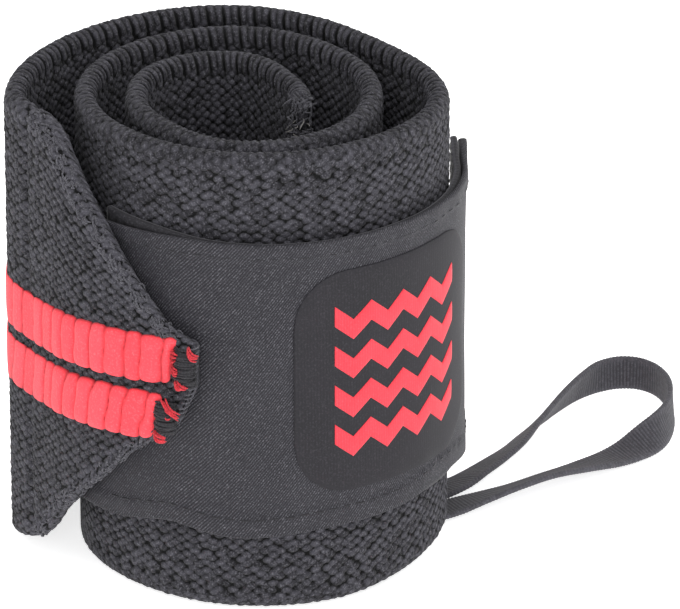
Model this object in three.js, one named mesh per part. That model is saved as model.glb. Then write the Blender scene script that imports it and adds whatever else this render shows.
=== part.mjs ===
// Wrist wrap for lifting, rolled up on its edge: a thick woven elastic band with a folded pointed end,
// two ribbed stripes, a hook-and-loop tab that closes the roll, and a narrow elastic thumb loop.
// Millimetres, +Z up. The roll stands on the band's lower edge, and its axis is vertical.

import * as THREE from "three";

// Band and tapes
const BAND = { width: 76.2, thickness: 3.4, edgeFlat: 0.8, edgeCorner: 1.35, edgeRound: 1.8 };
const STRIPE = { thickness: 0.7, valley: 0.35, ribPitch: 3.3, ribSteps: 4, edgeRound: 0.8 };
const COVER = { thickness: 0.8, upperHem: 2.6, lowerHem: 3.3, hemRise: 0.3, endFold: 0.7, foldAngle: 364 };
const HOOK = { thickness: 1.1, low: 14.6, liftAngle: 330 };
const BADGE = { thickness: 0.35, low: 20.2, high: 57.4, corner: 9, firstAngle: 287.5, lastAngle: 355 };
const TACK = { rise: 1.7, skirt: 0.5, corner: 1.2 };
const TAPE = { width: 5.6, thickness: 0.9, cornerRound: 0.25 };
const SEAT_GAP = 0.3;
const STATION_STEP = 3;
const TURN = 360;

// The thumb loop's two tapes run out under the roll: the band's lower edge arches over them.
const ARCH = { centre: 14, halfWidth: 75, height: 3.2 };

// Outer face of the rolled band, from its inner end: the radius at each angle round the axis.
const COIL = [
  { angle: 0, radius: 11.2 },
  { angle: 45, radius: 12.4 },
  { angle: 90, radius: 17.6 },
  { angle: 135, radius: 18.8 },
  { angle: 180, radius: 17.4 },
  { angle: 225, radius: 17.4 },
  { angle: 270, radius: 20.8 },
  { angle: 315, radius: 21.8 },
  { angle: 360, radius: 22.2 },
  { angle: 405, radius: 24.6 },
  { angle: 450, radius: 28.0 },
  { angle: 495, radius: 27.2 },
  { angle: 540, radius: 25.2 },
  { angle: 585, radius: 23.8 },
  { angle: 630, radius: 25.2 },
  { angle: 675, radius: 28.4 },
  { angle: 720, radius: 32.5 },
  { angle: 765, radius: 31.6 },
  { angle: 810, radius: 36.6 },
  { angle: 855, radius: 36.7 },
];

// The folded point that follows: both corners are turned under, so it narrows to a blunt tip and thickens.
const POINT = [
  { angle: 900, radius: 36.0, low: 1.0, high: 76.2, thickness: 3.4, rise: -1.0 },
  { angle: 906, radius: 34.8, low: 1.8, high: 76.2, thickness: 3.4, rise: -1.2 },
  { angle: 912, radius: 33.2, low: 3.0, high: 76.2, thickness: 3.5, rise: -1.3 },
  { angle: 917, radius: 32.3, low: 5.8, high: 76.0, thickness: 3.6, rise: -1.2 },
  { angle: 923, radius: 31.6, low: 10.2, high: 74.8, thickness: 3.7, rise: -0.9 },
  { angle: 944, radius: 30.6, low: 20.4, high: 63.4, thickness: 3.6, rise: 0.2 },
  { angle: 960, radius: 30.2, low: 28.2, high: 53.8, thickness: 3.2, rise: 0.7 },
  { angle: 968, radius: 30.2, low: 31.0, high: 49.2, thickness: 3.0, rise: 0.9 },
  { angle: 973, radius: 30.2, low: 33.8, high: 47.7, thickness: 2.8, rise: 1.0 },
  { angle: 978, radius: 30.3, low: 39.4, high: 46.7, thickness: 2.7, rise: 1.0 },
];

// The tab's cover: how far its outer face stands off the roll, from under the point to the lifted free end.
const TAB = [
  { angle: 207, standOff: 3.2, low: 12.8, high: 62.3 },
  { angle: 225, standOff: 2.75, low: 13.0, high: 62.4 },
  { angle: 238, standOff: 2.6, low: 14.2, high: 62.7 },
  { angle: 248, standOff: 2.6, low: 14.8, high: 62.9 },
  { angle: 260, standOff: 2.6, low: 13.8, high: 62.9 },
  { angle: 272, standOff: 2.6, low: 13.3, high: 62.8 },
  { angle: 300, standOff: 2.6, low: 14.4, high: 62.7 },
  { angle: 322, standOff: 2.6, low: 14.8, high: 62.7 },
  { angle: 345, standOff: 2.6, low: 16.2, high: 62.7 },
  { angle: 362, standOff: 2.9, low: 14.6, high: 62.9 },
  { angle: 370, standOff: 3.5, low: 14.0, high: 63.1 },
  { angle: 379, standOff: 5.4, low: 13.6, high: 63.3 },
];

// Upper edge of the hook strip. It shows at both ends and hides behind the cover between.
const HOOK_TOP = [
  { angle: 218, high: 63.9 },
  { angle: 240, high: 63.4 },
  { angle: 262, high: 62.5 },
  { angle: 300, high: 62.1 },
  { angle: 345, high: 62.1 },
  { angle: 362, high: 62.7 },
  { angle: 378.4, high: 64.1 },
];

// The stripes lie on the band's outer face, from under the tab's free end to the tacks at the tip.
const STRIPES = [
  { name: "stripe_upper", low: 39.0, high: 46.8, firstAngle: 736, lastAngle: 971 },
  { name: "stripe_lower", low: 29.4, high: 37.2, firstAngle: 736, lastAngle: 965 },
];

// Thread tacks that sew the tip down on the tab.
const TACKS = [
  { name: "tack_upper", low: 40.2, high: 46.6, firstAngle: 972, lastAngle: 978 },
  { name: "tack_lower", low: 32.2, high: 37.6, firstAngle: 966, lastAngle: 972 },
];

// Thumb loop, from one sewn end round the bend to the other: the tape's middle, the way it heads in plan,
// and how far its width leans from upright towards the inside of the loop (90 lies flat).
const LOOP = [
  { x: 12.05, y: 2.1, z: 13.0, heading: 2, lean: 90 },
  { x: 12.05, y: 2.1, z: 4.2, heading: 2, lean: 90 },
  { x: 13.2, y: 2.2, z: 1.7, heading: 4, lean: 90 },
  { x: 16.0, y: 2.5, z: 0.75, heading: 6, lean: 90 },
  { x: 22.0, y: 3.6, z: 0.75, heading: 13, lean: 90 },
  { x: 28.0, y: 6.0, z: 0.75, heading: 24, lean: 90 },
  { x: 33.6, y: 9.0, z: 0.85, heading: 27, lean: 93 },
  { x: 37.9, y: 11.2, z: 1.35, heading: 29, lean: 103 },
  { x: 43.3, y: 14.3, z: 1.82, heading: 35, lean: 113 },
  { x: 48.7, y: 18.4, z: 1.8, heading: 37, lean: 113 },
  { x: 54.2, y: 22.4, z: 1.4, heading: 38, lean: 104 },
  { x: 59.6, y: 26.8, z: 0.95, heading: 36, lean: 89 },
  { x: 63.0, y: 29.4, z: 1.45, heading: 42, lean: 72 },
  { x: 66.7, y: 32.8, z: 2.65, heading: 58, lean: 34 },
  { x: 68.8, y: 37.5, z: 2.97, heading: 74, lean: 12 },
  { x: 69.5, y: 42.9, z: 3.08, heading: 87, lean: 4 },
  { x: 69.0, y: 48.0, z: 3.1, heading: 104, lean: 1 },
  { x: 67.1, y: 52.3, z: 3.1, heading: 134, lean: 0 },
  { x: 64.3, y: 54.5, z: 3.1, heading: 162, lean: -4 },
  { x: 61.2, y: 54.7, z: 3.1, heading: 188, lean: -6 },
  { x: 57.9, y: 53.0, z: 3.1, heading: 218, lean: 1 },
  { x: 54.9, y: 49.6, z: 3.07, heading: 233, lean: 15 },
  { x: 52.1, y: 45.1, z: 3.0, heading: 239, lean: 24 },
  { x: 49.6, y: 40.4, z: 2.87, heading: 241, lean: 32 },
  { x: 46.4, y: 34.2, z: 2.6, heading: 242, lean: 44 },
  { x: 43.6, y: 28.6, z: 2.2, heading: 239, lean: 56 },
  { x: 40.6, y: 24.2, z: 1.9, heading: 235, lean: 65 },
  { x: 37.4, y: 20.0, z: 1.65, heading: 230, lean: 71 },
  { x: 34.2, y: 16.4, z: 1.3, heading: 224, lean: 80 },
  { x: 28.4, y: 12.6, z: 0.85, heading: 209, lean: 88 },
  { x: 21.0, y: 10.2, z: 0.75, heading: 195, lean: 90 },
  { x: 14.4, y: 9.4, z: 0.75, heading: 194, lean: 90 },
  { x: 11.1, y: 8.9, z: 1.7, heading: 200, lean: 90 },
  { x: 10.0, y: 8.5, z: 4.2, heading: 203, lean: 90 },
  { x: 10.0, y: 8.5, z: 13.0, heading: 203, lean: 90 },
];
const LOOP_STEPS_PER_ROW = 2;

const COLOURS = {
  black: 0x3a3a3e,
  charcoal: 0x434348,
  hookBlack: 0x1f1f22,
  badgeBlack: 0x333338,
  red: 0xf2545b,
};

const UP = new THREE.Vector3(0, 0, 1);

// A column of a table as a smooth function of another column: Hermite arcs with central-difference slopes.
function smoothColumn(rows, key, by = "angle") {
  const x = rows.map((row) => row[by]);
  const y = rows.map((row) => row[key]);
  const slope = x.map((_, i) => {
    const before = Math.max(i - 1, 0);
    const after = Math.min(i + 1, x.length - 1);
    return (y[after] - y[before]) / (x[after] - x[before]);
  });
  return (at) => {
    const next = Math.min(Math.max(x.findIndex((value) => value >= at), 1), x.length - 1);
    const i = at > x[x.length - 1] ? x.length - 2 : next - 1;
    const span = x[i + 1] - x[i];
    const t = (at - x[i]) / span;
    const rise = y[i + 1] - y[i];
    const bow = t * (1 - t) * ((slope[i] * span - rise) * (1 - t) - (slope[i + 1] * span - rise) * t);
    return y[i] + rise * t + bow;
  };
}

// A column as a function made of straight stretches, for edges that were folded or cut straight.
function straightColumn(rows, key, by = "angle") {
  return (at) => {
    const next = rows.findIndex((row) => row[by] >= at);
    if (next === 0) return rows[0][key];
    if (next < 0) return rows[rows.length - 1][key];
    const [a, b] = [rows[next - 1], rows[next]];
    return THREE.MathUtils.mapLinear(at, a[by], b[by], a[key], b[key]);
  };
}

// An upright wall in plan: the point of its outer face at an angle, and the outward normal there.
function wallInPlan(radiusAt) {
  const point = (angle) => {
    const a = THREE.MathUtils.degToRad(angle);
    return new THREE.Vector3(Math.cos(a), Math.sin(a), 0).multiplyScalar(radiusAt(angle));
  };
  const normal = (angle) => {
    const along = point(angle + 0.5).sub(point(angle - 0.5));
    return new THREE.Vector3(along.y, -along.x, 0).normalize();
  };
  return { point, normal };
}

// Angles from the first to the last with a station every step or less, and one at each row in between.
function stationAngles(first, last, rows, radiusAt, step = STATION_STEP) {
  const inside = rows.map((row) => row.angle).filter((angle) => angle > first + 1 && angle < last - 1);
  const stops = [first, ...inside, last];
  const angles = [first];
  for (let i = 1; i < stops.length; i += 1) {
    const arc = THREE.MathUtils.degToRad(stops[i] - stops[i - 1]) * radiusAt(stops[i]);
    const count = Math.max(1, Math.ceil(arc / step));
    for (let k = 1; k <= count; k += 1) {
      angles.push(THREE.MathUtils.lerp(stops[i - 1], stops[i], k / count));
    }
  }
  return angles;
}

// A closed solid through stations, each with an origin, two directions and an outline in those directions.
function loft(stations) {
  const count = stations[0].outline.length;
  const positions = [];
  const index = [];
  for (const { origin, across, up, outline } of stations) {
    for (const { x, y } of outline) {
      const corner = origin.clone().addScaledVector(across, x).addScaledVector(up, y);
      positions.push(corner.x, corner.y, corner.z);
    }
  }
  for (let i = 0; i + 1 < stations.length; i += 1) {
    for (let k = 0; k < count; k += 1) {
      const [a, b] = [i * count + k, i * count + ((k + 1) % count)];
      index.push(a, b, b + count, a, b + count, a + count);
    }
  }
  const end = (stations.length - 1) * count;
  for (const [a, b, c] of THREE.ShapeUtils.triangulateShape(stations[0].outline, [])) index.push(a, c, b);
  for (const [a, b, c] of THREE.ShapeUtils.triangulateShape(stations[stations.length - 1].outline, [])) {
    index.push(end + a, end + b, end + c);
  }
  const geometry = new THREE.BufferGeometry();
  geometry.setAttribute("position", new THREE.Float32BufferAttribute(positions, 3));
  geometry.setIndex(index);
  geometry.computeVertexNormals();
  return geometry;
}

// A station of an upright wall: its outline is measured inwards from the outer face, and in height.
function wallStation(wall, angle, outline) {
  return { origin: wall.point(angle), across: wall.normal(angle).negate(), up: UP, outline };
}

const outlineOf = (pairs) => pairs.map(([x, y]) => new THREE.Vector2(x, y));

// Section of the band: two flat faces and rounded selvages, with a flat strip to stand on.
function bandOutline(thickness, low, high) {
  const { edgeFlat, edgeCorner, edgeRound } = BAND;
  const middle = thickness / 2;
  const right = [
    [middle + edgeFlat, low],
    [middle + edgeCorner, low + edgeRound * 0.3],
    [thickness, low + edgeRound],
    [thickness, high - edgeRound],
    [middle + edgeCorner, high - edgeRound * 0.3],
    [middle + edgeFlat, high],
  ];
  const left = right.map(([x, y]) => [thickness - x, y]).reverse();
  return outlineOf([...right, ...left]);
}

// How far the loop's tapes lift the band's lower edge, as a raised cosine round the axis.
function archLift(angle) {
  const away = THREE.MathUtils.euclideanModulo(angle - ARCH.centre + 180, 360) - 180;
  if (Math.abs(away) >= ARCH.halfWidth) return 0;
  return (ARCH.height / 2) * (1 + Math.cos((Math.PI * away) / ARCH.halfWidth));
}

const bandRows = [...COIL, ...POINT];
const bandRadius = smoothColumn(bandRows, "radius");
const bandWall = wallInPlan(bandRadius);
const foldStart = COIL[COIL.length - 1].angle;
const plainRow = { angle: foldStart, low: 0, high: BAND.width, thickness: BAND.thickness, rise: 0 };
const pointRows = [plainRow, ...POINT];
const foldLow = straightColumn(pointRows, "low");
const bandLow = (angle) => (angle < foldStart ? archLift(angle) : foldLow(angle));
const bandHigh = straightColumn(pointRows, "high");
const bandThickness = straightColumn(pointRows, "thickness");
const stripeRise = straightColumn(pointRows, "rise");

function elasticBand() {
  const last = POINT[POINT.length - 1].angle;
  return loft(
    stationAngles(COIL[0].angle, last, bandRows, bandRadius).map((angle) =>
      wallStation(bandWall, angle, bandOutline(bandThickness(angle), bandLow(angle), bandHigh(angle))),
    ),
  );
}

// A ribbed stripe woven proud of the band's face: the ribs run across it, and valleys part them.
function stripe({ low, high, firstAngle, lastAngle }) {
  const ribStep = STRIPE.ribPitch / STRIPE.ribSteps;
  const angles = stationAngles(firstAngle, lastAngle, [], bandRadius, ribStep);
  const back = -SEAT_GAP;
  return loft(
    angles.map((angle, i) => {
      const swell = Math.sin((Math.PI * (i % STRIPE.ribSteps)) / STRIPE.ribSteps);
      const front = back - THREE.MathUtils.lerp(STRIPE.valley, STRIPE.thickness, swell);
      const [bottom, top] = [low + stripeRise(angle), high + stripeRise(angle)];
      const inset = STRIPE.edgeRound;
      return wallStation(
        bandWall,
        angle,
        outlineOf([[back, bottom], [back, top], [front, top - inset], [front, bottom + inset]]),
      );
    }),
  );
}

// A pad of satin-stitched thread, lower at its rim than in the middle.
function tack({ low, high, firstAngle, lastAngle }) {
  const angles = stationAngles(firstAngle, lastAngle, [], bandRadius, TACK.corner);
  return loft(
    angles.map((angle, i) => {
      const atEnd = i === 0 || i === angles.length - 1;
      const front = -SEAT_GAP - (atEnd ? TACK.skirt : TACK.rise);
      const inset = atEnd ? TACK.corner : TACK.corner / 2;
      return wallStation(
        bandWall,
        angle,
        outlineOf([
          [-SEAT_GAP, low],
          [-SEAT_GAP, high],
          [-SEAT_GAP - TACK.skirt / 2, high],
          [front, high - inset],
          [front, low + inset],
          [-SEAT_GAP - TACK.skirt / 2, low],
        ]),
      );
    }),
  );
}

const tabStandOff = smoothColumn(TAB, "standOff");
const tabRadius = (angle) => bandRadius(angle + TURN) + tabStandOff(angle);
const tabWall = wallInPlan(tabRadius);
const tabLow = smoothColumn(TAB, "low");
const tabHigh = smoothColumn(TAB, "high");
const hookHigh = smoothColumn(HOOK_TOP, "high");
const spanOf = (rows) => [rows[0].angle, rows[rows.length - 1].angle];

// The cover thickens towards its free end, where the cloth is folded back.
function coverThickness(angle) {
  const [, last] = spanOf(TAB);
  const share = THREE.MathUtils.clamp((angle - COVER.foldAngle) / (last - COVER.foldAngle), 0, 1);
  return COVER.thickness + COVER.endFold * share;
}

// The cover is a fabric sheet with a raised folded hem along its upper and lower edges.
function tabCover() {
  const { upperHem, lowerHem, hemRise } = COVER;
  return loft(
    stationAngles(...spanOf(TAB), TAB, tabRadius).map((angle) => {
      const [low, high, thickness] = [tabLow(angle), tabHigh(angle), coverThickness(angle)];
      return wallStation(
        tabWall,
        angle,
        outlineOf([
          [thickness, low],
          [thickness, high],
          [0, high],
          [0, high - upperHem],
          [hemRise, high - upperHem - hemRise],
          [hemRise, low + lowerHem + hemRise],
          [0, low + lowerHem],
          [0, low],
        ]),
      );
    }),
  );
}

// The hook strip grips the roll behind the cover. Under the cover's lifted free end it follows the cover.
function hookStrip() {
  const { thickness, low, liftAngle } = HOOK;
  const radius = (angle) => {
    const onRoll = bandRadius(angle + TURN) + SEAT_GAP + thickness;
    const behindCover = tabRadius(angle) - coverThickness(angle) - SEAT_GAP;
    return angle > liftAngle ? Math.max(onRoll, behindCover) : onRoll;
  };
  const wall = wallInPlan(radius);
  return loft(
    stationAngles(...spanOf(HOOK_TOP), TAB, radius).map((angle) => {
      const high = hookHigh(angle);
      return wallStation(wall, angle, outlineOf([[thickness, low], [thickness, high], [0, high], [0, low]]));
    }),
  );
}

// A thin patch with round corners on the cover, sunk no deeper than the hems stand proud.
function badge() {
  const { thickness, low, high, corner, firstAngle, lastAngle } = BADGE;
  const front = COVER.hemRise - SEAT_GAP - thickness;
  const angles = stationAngles(firstAngle, lastAngle, [], tabRadius, corner / 4);
  const middle = (firstAngle + lastAngle) / 2;
  return loft(
    angles.map((angle) => {
      const half = Math.abs(lastAngle - firstAngle) / 2;
      const fromEnd = THREE.MathUtils.degToRad(half - Math.abs(angle - middle)) * tabRadius(angle);
      const into = Math.max(corner - fromEnd, 0);
      const inset = corner - Math.sqrt(corner * corner - into * into);
      const [bottom, top] = [low + inset, high - inset];
      return wallStation(
        tabWall,
        angle,
        outlineOf([
          [front + thickness, bottom],
          [front + thickness, top],
          [front, top],
          [front, bottom],
        ]),
      );
    }),
  );
}

// The thumb loop: a flat elastic tape carried along the table's route, twisting with its lean.
function thumbLoop() {
  const route = new THREE.CatmullRomCurve3(LOOP.map(({ x, y, z }) => new THREE.Vector3(x, y, z)));
  const rows = LOOP.map((row, i) => ({ ...row, angle: i }));
  const heading = smoothColumn(rows, "heading");
  const lean = smoothColumn(rows, "lean");
  const [w, t, r] = [TAPE.width / 2, TAPE.thickness / 2, TAPE.cornerRound];
  const outline = outlineOf([
    [t, r - w],
    [t, w - r],
    [t - r, w],
    [r - t, w],
    [-t, w - r],
    [-t, r - w],
    [r - t, -w],
    [t - r, -w],
  ]);
  const count = (LOOP.length - 1) * LOOP_STEPS_PER_ROW;
  const stations = [];
  for (let i = 0; i <= count; i += 1) {
    const row = i / LOOP_STEPS_PER_ROW;
    const along = route.getTangent(i / count);
    const [h, l] = [heading(row), lean(row)].map(THREE.MathUtils.degToRad);
    const wide = new THREE.Vector3(-Math.sin(h) * Math.sin(l), Math.cos(h) * Math.sin(l), Math.cos(l));
    const across = wide.clone().cross(along).normalize();
    stations.push({ origin: route.getPoint(i / count), across, up: along.clone().cross(across), outline });
  }
  return loft(stations);
}

function piece(name, geometry, color, roughness) {
  const mesh = new THREE.Mesh(geometry, new THREE.MeshStandardMaterial({ color, roughness, metalness: 0 }));
  mesh.name = name;
  return mesh;
}

const roll = new THREE.Group();
roll.add(piece("elastic_band", elasticBand(), COLOURS.black, 0.95));
for (const row of STRIPES) roll.add(piece(row.name, stripe(row), COLOURS.red, 0.7));
for (const row of TACKS) roll.add(piece(row.name, tack(row), COLOURS.hookBlack, 0.6));
roll.add(piece("tab_cover", tabCover(), COLOURS.charcoal, 0.6));
roll.add(piece("hook_strip", hookStrip(), COLOURS.hookBlack, 0.7));
roll.add(piece("badge", badge(), COLOURS.badgeBlack, 0.5));
roll.add(piece("thumb_loop", thumbLoop(), COLOURS.charcoal, 0.9));

// The origin is under the middle of the whole wrap, on the surface that it stands on.
const middle = new THREE.Box3().setFromObject(roll).getCenter(new THREE.Vector3());
roll.position.set(-middle.x, -middle.y, 0);

const wristWrap = new THREE.Group();
wristWrap.add(roll);

export default wristWrap;
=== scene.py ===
"""Dresses a rolled lifting wrist wrap: woven band, ribbed stripes, hook tab, badge and thumb loop.

Shapes are worked out in millimetres round the roll's own upright axis, then moved to the part's frame.
"""

import logging
import math
from dataclasses import dataclass, field
from enum import Enum
from typing import Any, Callable

import bpy
import numpy as np
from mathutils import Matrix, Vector


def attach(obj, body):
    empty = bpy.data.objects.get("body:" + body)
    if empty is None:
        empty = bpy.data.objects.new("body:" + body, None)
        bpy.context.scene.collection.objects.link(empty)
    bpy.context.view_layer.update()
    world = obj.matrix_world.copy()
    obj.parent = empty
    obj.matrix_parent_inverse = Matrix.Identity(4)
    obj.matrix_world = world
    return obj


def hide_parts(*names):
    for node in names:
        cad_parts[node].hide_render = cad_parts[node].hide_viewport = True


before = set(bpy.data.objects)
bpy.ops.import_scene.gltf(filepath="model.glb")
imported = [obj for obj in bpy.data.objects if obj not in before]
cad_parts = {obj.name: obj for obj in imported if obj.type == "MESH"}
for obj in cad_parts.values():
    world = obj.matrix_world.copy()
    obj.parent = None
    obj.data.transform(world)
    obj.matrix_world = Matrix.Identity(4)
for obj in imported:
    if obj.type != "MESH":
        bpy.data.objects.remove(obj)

LOG = logging.getLogger("wrist_wrap")
MM = 0.001
BODY = "root"
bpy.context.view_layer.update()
ROLL_AXIS = np.array([-16.532777, -12.120868, 0.0])
TURN = 360.0
FINE_STATIONS = 6000
FINE_STEP = 0.05
CHANCE_SEED = 7
CHANCE_COUNT = 4093
CHANCE_STEPS = (73, 1217, 2801)

# Outer face of the rolled band from its inner end: angle in degrees, radius.
COIL = np.array([
    [0, 11.2], [45, 12.4], [90, 17.6], [135, 18.8], [180, 17.4], [225, 17.4], [270, 20.8],
    [315, 21.8], [360, 22.2], [405, 24.6], [450, 28.0], [495, 27.2], [540, 25.2], [585, 23.8],
    [630, 25.2], [675, 28.4], [720, 32.5], [765, 31.6], [810, 36.6], [855, 36.7],
])

# The folded point that follows: angle, radius, low edge, high edge, thickness, rise of the stripes.
POINT = np.array([
    [900, 36.0, 1.0, 76.2, 3.4, -1.0], [906, 34.8, 1.8, 76.2, 3.4, -1.2], [912, 33.2, 3.0, 76.2, 3.5, -1.3],
    [917, 32.3, 5.8, 76.0, 3.6, -1.2], [923, 31.6, 10.2, 74.8, 3.7, -0.9], [944, 30.6, 20.4, 63.4, 3.6, 0.2],
    [960, 30.2, 28.2, 53.8, 3.2, 0.7], [968, 30.2, 31.0, 49.2, 3.0, 0.9], [973, 30.2, 33.8, 47.7, 2.8, 1.0],
    [978, 30.3, 39.4, 46.7, 2.7, 1.0],
])

# The tab's cover: angle, stand-off from the roll, low edge, high edge.
TAB = np.array([
    [207, 3.2, 12.8, 62.3], [225, 2.75, 13.0, 62.4], [238, 2.6, 14.2, 62.7], [248, 2.6, 14.8, 62.9],
    [260, 2.6, 13.8, 62.9], [272, 2.6, 13.3, 62.8], [300, 2.6, 14.4, 62.7], [322, 2.6, 14.8, 62.7],
    [345, 2.6, 16.2, 62.7], [362, 2.9, 14.6, 62.9], [370, 3.5, 14.0, 63.1], [379, 5.4, 13.6, 63.3],
])

# Upper edge of the hook strip: angle, height. It shows at both ends and hides behind the cover between.
HOOK_TOP = np.array([
    [218, 63.9], [240, 63.4], [262, 62.5], [300, 62.1], [345, 62.1], [362, 62.7], [378.4, 64.1],
])

# The thumb loop's tape: middle x, y and z, heading in plan, lean of its width from upright.
LOOP = np.array([
    [12.05, 2.1, 13.0, 2, 90], [12.05, 2.1, 4.2, 2, 90], [13.2, 2.2, 1.7, 4, 90], [16.0, 2.5, 0.75, 6, 90],
    [22.0, 3.6, 0.75, 13, 90], [28.0, 6.0, 0.75, 24, 90], [33.6, 9.0, 0.85, 27, 93],
    [37.9, 11.2, 1.35, 29, 103], [43.3, 14.3, 1.82, 35, 113], [48.7, 18.4, 1.8, 37, 113],
    [54.2, 22.4, 1.4, 38, 104], [59.6, 26.8, 0.95, 36, 89], [63.0, 29.4, 1.45, 42, 72],
    [66.7, 32.8, 2.65, 58, 34], [68.8, 37.5, 2.97, 74, 12], [69.5, 42.9, 3.08, 87, 4],
    [69.0, 48.0, 3.1, 104, 1], [67.1, 52.3, 3.1, 134, 0], [64.3, 54.5, 3.1, 162, -4],
    [61.2, 54.7, 3.1, 188, -6], [57.9, 53.0, 3.1, 218, 1], [54.9, 49.6, 3.07, 233, 15],
    [52.1, 45.1, 3.0, 239, 24], [49.6, 40.4, 2.87, 241, 32], [46.4, 34.2, 2.6, 242, 44],
    [43.6, 28.6, 2.2, 239, 56], [40.6, 24.2, 1.9, 235, 65], [37.4, 20.0, 1.65, 230, 71],
    [34.2, 16.4, 1.3, 224, 80], [28.4, 12.6, 0.85, 209, 88], [21.0, 10.2, 0.75, 195, 90],
    [14.4, 9.4, 0.75, 194, 90], [11.1, 8.9, 1.7, 200, 90], [10.0, 8.5, 4.2, 203, 90],
    [10.0, 8.5, 13.0, 203, 90],
])

# Outline of the point's tip: height, angle.
TIP = np.array([[33.8, 973.0], [39.4, 977.6], [41.0, 978.0], [46.7, 978.0]])

# Red tufts round each tack: first angle, first height, last angle, last height.
UPPER_TUFTS = (
    (971.3, 45.6, 973.0, 45.0), (971.6, 43.2, 973.6, 42.6),
    (976.2, 46.4, 979.0, 45.0), (973.0, 41.0, 975.6, 40.0),
)
LOWER_TUFTS = ((968.6, 37.2, 973.0, 34.8), (969.4, 36.2, 972.0, 35.4), (966.0, 31.6, 969.4, 30.6))

Socket = bpy.types.NodeSocket
Tree = bpy.types.NodeTree


class Side(Enum):
    """The two long edges of a strip."""

    UPPER = "upper"
    LOWER = "lower"


def smooth_column(x: np.ndarray, y: np.ndarray, at: np.ndarray) -> np.ndarray:
    """A table's column as a smooth function: cubic arcs whose slopes are central differences.

    Args:
        x: The rows' places.
        y: The rows' values.
        at: Where the column is wanted.

    Returns:
        The values there.
    """
    slope = np.empty(len(x))
    slope[1:-1] = (y[2:] - y[:-2]) / (x[2:] - x[:-2])
    slope[0] = (y[1] - y[0]) / (x[1] - x[0])
    slope[-1] = (y[-1] - y[-2]) / (x[-1] - x[-2])
    i = np.clip(np.searchsorted(x, at) - 1, 0, len(x) - 2)
    span = x[i + 1] - x[i]
    t = (at - x[i]) / span
    rise = y[i + 1] - y[i]
    bow = (slope[i] * span - rise) * (1 - t) - (slope[i + 1] * span - rise) * t
    return y[i] + rise * t + t * (1 - t) * bow


def unit(vectors: np.ndarray) -> np.ndarray:
    """Vectors divided by their lengths."""
    return vectors / np.linalg.norm(vectors, axis=-1, keepdims=True)


def running_length(points: np.ndarray) -> np.ndarray:
    """Length along a row of points from the first to each."""
    steps = np.linalg.norm(np.diff(points, axis=0), axis=1)
    return np.concatenate([[0.0], np.cumsum(steps)])


@dataclass(frozen=True)
class Wall:
    """An upright wall seen in plan: its outer face's radius as a function of the angle in degrees."""

    radius: Callable[[np.ndarray], np.ndarray]

    def point(self, angle: np.ndarray) -> np.ndarray:
        """Points of the outer face at height zero: radius times cosine and sine."""
        a = np.radians(angle)
        r = self.radius(angle)
        return np.stack([r * np.cos(a), r * np.sin(a), np.zeros_like(r)], axis=-1)

    def normal(self, angle: np.ndarray) -> np.ndarray:
        """Outward normals: the way along the wall, turned a quarter to the right."""
        along = self.point(angle + 0.5) - self.point(angle - 0.5)
        return unit(np.stack([along[..., 1], -along[..., 0], np.zeros(along.shape[:-1])], axis=-1))

    def stations(self, first: float, last: float, step: float) -> tuple[np.ndarray, np.ndarray]:
        """Angles at equal lengths along the wall.

        Args:
            first: First angle.
            last: Last angle.
            step: Wanted spacing.

        Returns:
            The angles, and the length along the wall at each.
        """
        fine = np.linspace(first, last, FINE_STATIONS)
        run = running_length(self.point(fine))
        along = np.linspace(0.0, run[-1], max(2, round(run[-1] / step)) + 1)
        return np.interp(along, run, fine), along

    def place(self, angle: np.ndarray, out: np.ndarray, height: np.ndarray) -> np.ndarray:
        """Points at a distance out from the outer face and at a height.

        Args:
            angle: Angles, one for each station or for each point.
            out: Distances out.
            height: Heights.

        Returns:
            Points, in the shape of out by xyz.
        """
        if angle.ndim < out.ndim:
            angle = np.broadcast_to(angle[:, None], out.shape)
        points = self.point(angle) + self.normal(angle) * out[..., None]
        points[..., 2] += height
        return points


@dataclass
class Section:
    """Outlines of a strip, one row per station: outer face upwards, upper edge, inner face, lower edge.

    out and height place each point, push_out and push_up are its own normal, inset is its distance in
    from the nearer rounded edge, and face is 1 outside, -1 inside and 0 on the edges.
    """

    out: np.ndarray
    height: np.ndarray
    push_out: np.ndarray
    push_up: np.ndarray
    inset: np.ndarray
    face: np.ndarray

    def push(self, relief: np.ndarray) -> None:
        """Moves each point along its own normal."""
        self.out = self.out + relief * self.push_out
        self.height = self.height + relief * self.push_up


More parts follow.
